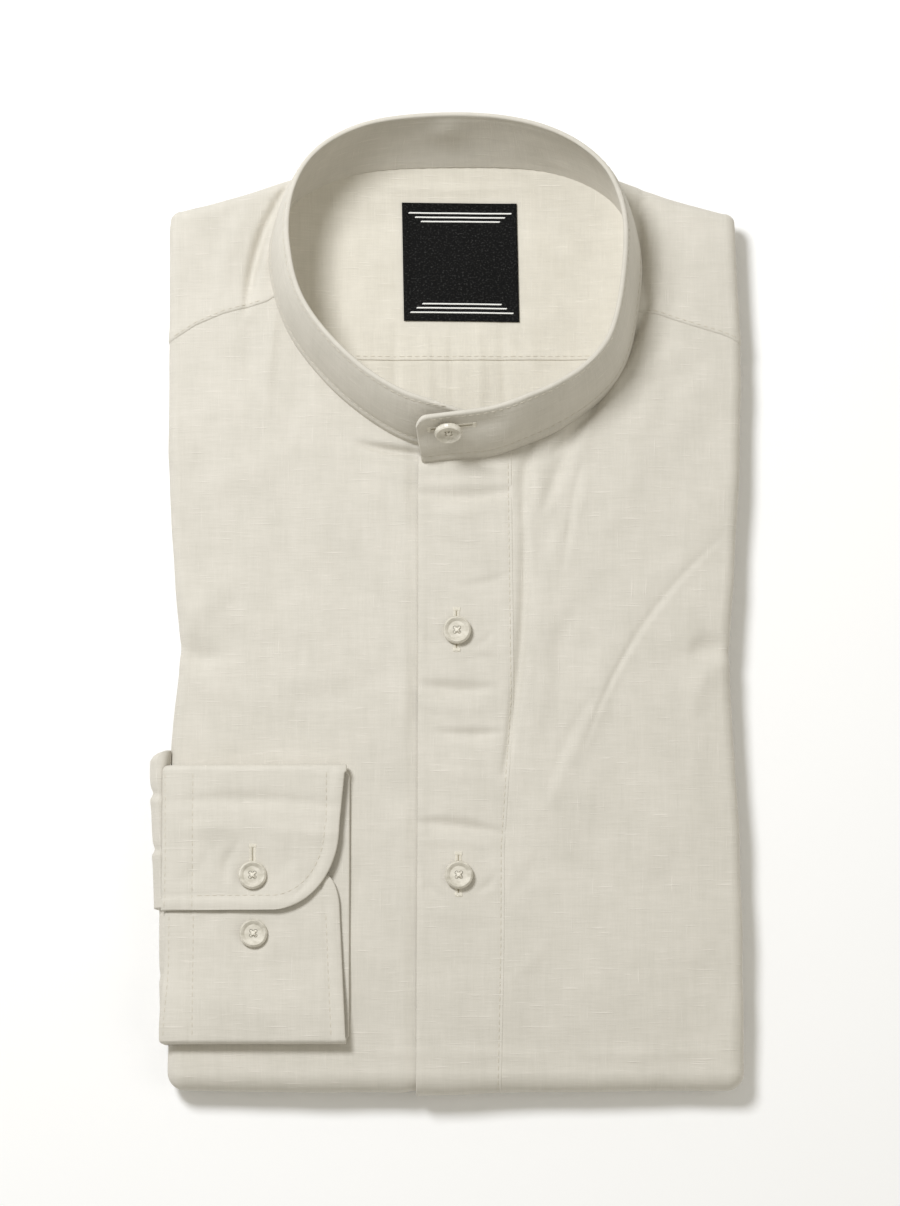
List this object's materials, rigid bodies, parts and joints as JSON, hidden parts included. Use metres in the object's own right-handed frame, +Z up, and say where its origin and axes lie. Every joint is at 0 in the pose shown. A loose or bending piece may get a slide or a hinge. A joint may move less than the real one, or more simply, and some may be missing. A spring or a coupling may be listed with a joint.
{
  "type": "folded mandarin collar shirt",
  "caption": "Band-collar linen shirt, buttoned and folded to a flat rectangle, with its standing collar round an open neck and a buttoned cuff laid on its front.",
  "frame": {"origin": "centre of the bounding box in plan, on the surface the shirt lies on", "axes": "+Y from the folded foot to the collar, +Z up out of the surface, through the shirt's front, +X to the wearer's left"},
  "size_m": [0.2343, 0.3895, 0.0459],
  "materials": {
    "linen": "matte plain-weave linen",
    "linen_inside": "matte plain-weave linen, seen from inside the neck",
    "linen_layers": "matte plain-weave linen, folded layers",
    "label": "black damask weave",
    "button": "pearl polyester resin"
  },
  "bodies": {
    "root": {"front_right": "linen", "front_left": "linen", "placket": "linen", "yoke": "linen", "collar_band": "linen", "cuff": "linen", "sleeve": "linen", "inner_yoke": "linen_inside", "back": "linen_inside", "hidden_layers": "linen_layers", "neck_label": "label", "collar_button": "button", "front_button_1": "button", "front_button_2": "button", "cuff_button_1": "button", "cuff_button_2": "button"}
  },
  "joints": []
}
